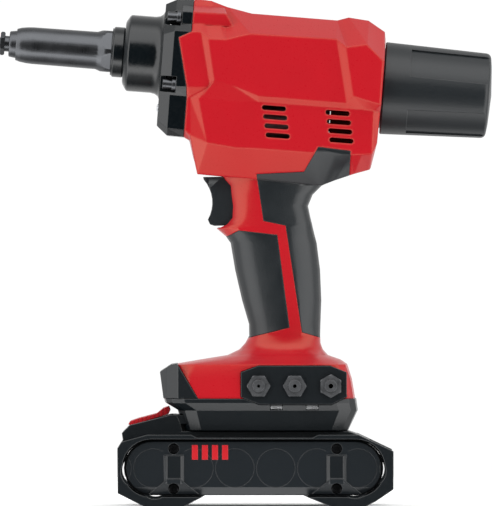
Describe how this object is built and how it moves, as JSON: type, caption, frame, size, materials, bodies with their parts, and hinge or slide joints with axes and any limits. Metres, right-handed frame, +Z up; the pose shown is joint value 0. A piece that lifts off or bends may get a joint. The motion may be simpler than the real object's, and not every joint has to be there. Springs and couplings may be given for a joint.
{
  "type": "battery rivet tool",
  "caption": "Cordless blind rivet tool: tilted pulling head with a long nose sleeve and rear mandrel collector, pistol grip with trigger, foot with spare nosepieces, slide-on battery.",
  "frame": {"origin": "on the floor under the middle of the tool, between nose tip and collector end", "axes": "+Z up, the nose points along -X, +Y is the side away from the rack of spare nosepieces"},
  "size_m": [0.2766, 0.086, 0.2831],
  "materials": {
    "red_shell": "fine moulded grain",
    "black_cast": "satin black coat",
    "black_shell": "fine moulded grain",
    "collector_shell": "smooth satin",
    "grip_rubber": "soft matte",
    "trigger_shell": "satin",
    "sleeve_steel": "black oxide, turned",
    "bright_steel": "zinc plated",
    "gear_steel": "ground",
    "case_alloy": "as cast",
    "copper": "enamelled copper",
    "contact_brass": "bright",
    "board": "solder resist",
    "cell_wrap": "shrink wrap",
    "lens": "clear",
    "button_red": "satin"
  },
  "bodies": {
    "tool": {"housing_left": "red_shell", "housing_right": "red_shell", "front_housing": "black_cast", "bell": "black_cast", "lock_collar": "black_cast", "dock": "black_shell", "foot_cap": "black_shell", "rack": "black_shell", "collector_socket": "black_shell", "switch_module": "black_shell", "grip_front_left": "grip_rubber", "grip_front_right": "grip_rubber", "grip_rear_left": "grip_rubber", "grip_rear_right": "grip_rubber", "socket_seal": "grip_rubber", "sleeve": "sleeve_steel", "nosepiece": "sleeve_steel", "spare_nosepieces": "sleeve_steel", "housing_screws": "bright_steel", "front_screws": "bright_steel", "rack_clips": "bright_steel", "trigger_spring": "bright_steel", "mandrel_tube": "bright_steel", "guide_rails": "bright_steel", "motor_bearings": "bright_steel", "nut_bearings": "bright_steel", "ring_gear": "gear_steel", "motor_can": "gear_steel", "gear_case": "case_alloy", "stator": "copper", "dock_terminals": "contact_brass", "control_board": "board", "work_light_lens": "lens"},
    "trigger": {"trigger": "trigger_shell"},
    "motor": {"rotor": "gear_steel", "motor_fan": "black_shell"},
    "carrier": {"carrier": "gear_steel"},
    "planet_a": {"planet_a": "gear_steel"},
    "planet_b": {"planet_b": "gear_steel"},
    "planet_c": {"planet_c": "gear_steel"},
    "nut": {"ball_nut": "gear_steel", "drive_gear": "gear_steel"},
    "spindle": {"spindle": "gear_steel", "guide_block": "gear_steel", "jaw_housing": "gear_steel", "jaws": "gear_steel", "jaw_pusher": "gear_steel", "jaw_spring": "bright_steel"},
    "collector": {"collector": "collector_shell"},
    "battery": {"battery_case": "black_shell", "battery_top": "black_shell", "battery_cover_left": "black_shell", "battery_cover_right": "black_shell", "bumper_left": "black_shell", "bumper_right": "black_shell", "battery_screws": "bright_steel", "battery_cells": "cell_wrap", "battery_board": "board", "battery_terminals": "contact_brass"},
    "button": {"release_button": "button_red"}
  },
  "joints": [
    {"name": "motor_turn", "type": "hinge", "parent": "tool", "child": "motor", "pos_m": [0.02113, 0, 0.21379], "axis": [0.9971, 0, -0.0758], "range_deg": [0, 21600]},
    {"name": "carrier_turn", "type": "hinge", "parent": "tool", "child": "carrier", "pos_m": [-0.03371, 0, 0.21796], "axis": [0.9971, 0, -0.0758], "range_deg": [0, 4800]},
    {"name": "planet_a_turn", "type": "hinge", "parent": "carrier", "child": "planet_a", "pos_m": [-0.02057, 0, 0.20613], "axis": [0.9971, 0, -0.0758], "range_deg": [-13440, 0]},
    {"name": "planet_b_turn", "type": "hinge", "parent": "carrier", "child": "planet_b", "pos_m": [-0.01934, -0.00935, 0.22228], "axis": [0.9971, 0, -0.0758], "range_deg": [-13440, 0]},
    {"name": "planet_c_turn", "type": "hinge", "parent": "carrier", "child": "planet_c", "pos_m": [-0.01934, 0.00935, 0.22228], "axis": [0.9971, 0, -0.0758], "range_deg": [-13440, 0]},
    {"name": "nut_turn", "type": "hinge", "parent": "tool", "child": "nut", "pos_m": [-0.0312, 0, 0.25086], "axis": [0.9971, 0, -0.0758], "range_deg": [-1800, 0]},
    {"name": "pull_stroke", "type": "slide", "parent": "tool", "child": "spindle", "axis": [0.9971, 0, -0.0758], "range_m": [0, 0.02]},
    {"name": "trigger_press", "type": "slide", "parent": "tool", "child": "trigger", "axis": [0.9971, 0, -0.0758], "range_m": [0, 0.006], "stiffness_N_per_m": 900, "springref_m": -0.004, "deforming": ["trigger_spring"]},
    {"name": "collector_twist", "type": "hinge", "parent": "tool", "child": "collector", "pos_m": [0.10274, 0, 0.23185], "axis": [0.9971, 0, -0.0758], "range_deg": [0, 40]},
    {"name": "battery_slide", "type": "slide", "parent": "tool", "child": "battery", "axis": [-1, 0, 0], "range_m": [0, 0.095]},
    {"name": "release_press", "type": "slide", "parent": "battery", "child": "button", "axis": [0, 0, -1], "range_m": [0, 0.003], "stiffness_N_per_m": 700, "springref_m": -0.003}
  ],
  "couplings": [
    {"joint": "motor_turn", "follows": "pull_stroke", "rad_per_m": 18850},
    {"joint": "carrier_turn", "follows": "pull_stroke", "rad_per_m": 4188.8},
    {"joint": "planet_a_turn", "follows": "pull_stroke", "rad_per_m": -11729},
    {"joint": "planet_b_turn", "follows": "pull_stroke", "rad_per_m": -11729},
    {"joint": "planet_c_turn", "follows": "pull_stroke", "rad_per_m": -11729},
    {"joint": "nut_turn", "follows": "pull_stroke", "rad_per_m": -1570.8}
  ]
}
